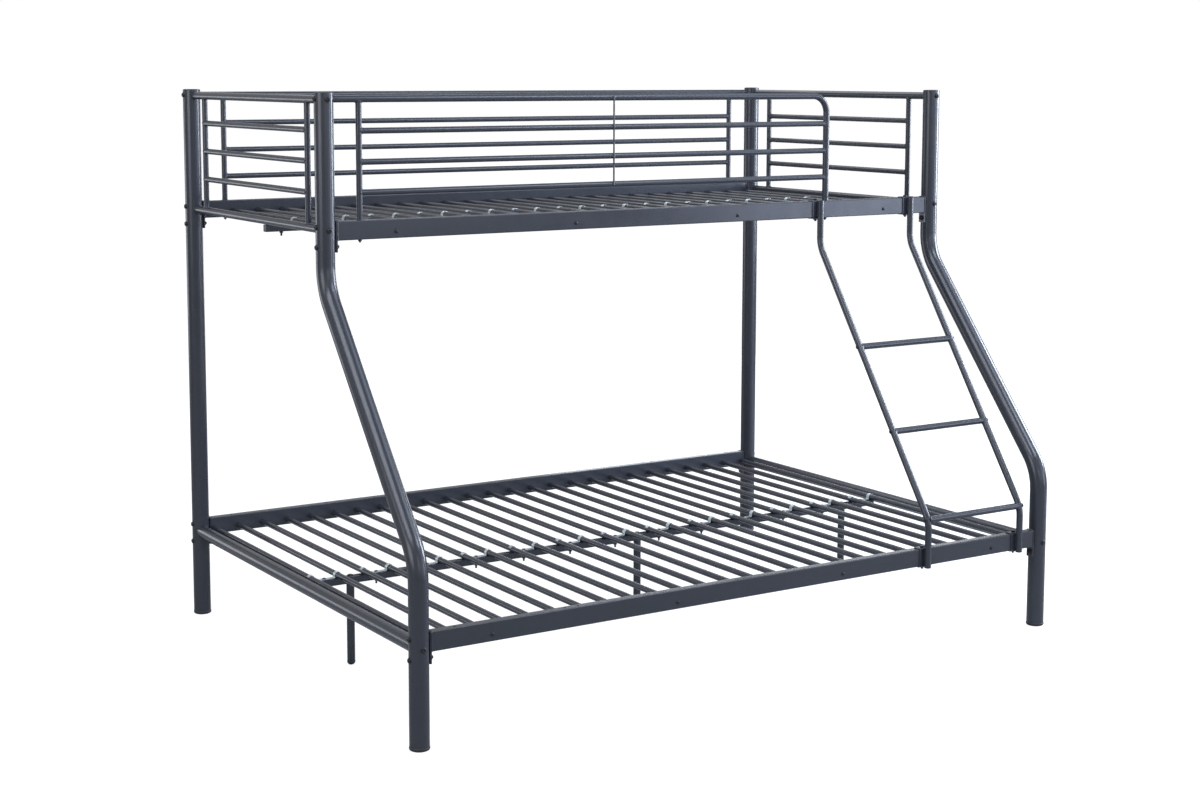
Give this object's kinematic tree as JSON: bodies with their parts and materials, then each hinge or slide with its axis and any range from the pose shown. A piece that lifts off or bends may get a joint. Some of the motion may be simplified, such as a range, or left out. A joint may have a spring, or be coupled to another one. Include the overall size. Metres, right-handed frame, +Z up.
{
  "type": "triple bunk bed",
  "caption": "Steel tube bunk bed with a wide lower bed, a narrow upper bed, two S-bent front posts, guard rails and a sloping ladder.",
  "frame": {"origin": "on the floor under the middle of the outer box", "axes": "+X along the beds to the ladder end, +Y towards the back, +Z up"},
  "size_m": [2.099, 1.487, 1.5695],
  "materials": {
    "steel": "satin powder coat, dark blue-grey",
    "zinc": "zinc plated, slightly matt",
    "cap": "matt black",
    "bolt": "black oxide, satin"
  },
  "bodies": {
    "root": {"centre_leg_knobs": "cap", "centre_leg_left": "steel", "centre_leg_middle": "steel", "centre_leg_right": "steel", "clamp_bolts": "bolt", "end_bolts": "bolt", "guard_back": "steel", "guard_bolts": "bolt", "guard_front": "steel", "guard_nuts": "bolt", "ladder_end_caps": "cap", "ladder_rung_1": "steel", "ladder_rung_2": "steel", "ladder_rung_3": "steel", "ladder_stringer_left": "steel", "ladder_stringer_right": "steel", "lower_centre_beam": "steel", "lower_end_tube_left": "steel", "lower_end_tube_right": "steel", "lower_rail_back": "steel", "lower_rail_front": "steel", "lower_slat_clips": "zinc", "lower_slats": "steel", "lower_tie_slat_1": "steel", "lower_tie_slat_2": "steel", "lower_tie_slat_3": "steel", "lower_tie_slat_4": "steel", "post_back_left": "steel", "post_back_right": "steel", "post_foot_caps": "cap", "post_front_left": "steel", "post_front_right": "steel", "post_top_caps": "cap", "rail_bolts": "bolt", "rail_nuts": "bolt", "rung_bolts": "bolt", "slat_bolts": "bolt", "upper_centre_beam": "steel", "upper_end_panel_left": "steel", "upper_end_panel_right": "steel", "upper_rail_back": "steel", "upper_rail_front": "steel", "upper_slat_clips": "zinc", "upper_slats": "steel", "upper_tie_slat_1": "steel", "upper_tie_slat_2": "steel", "upper_tie_slat_3": "steel", "upper_tie_slat_4": "steel"}
  },
  "joints": []
}
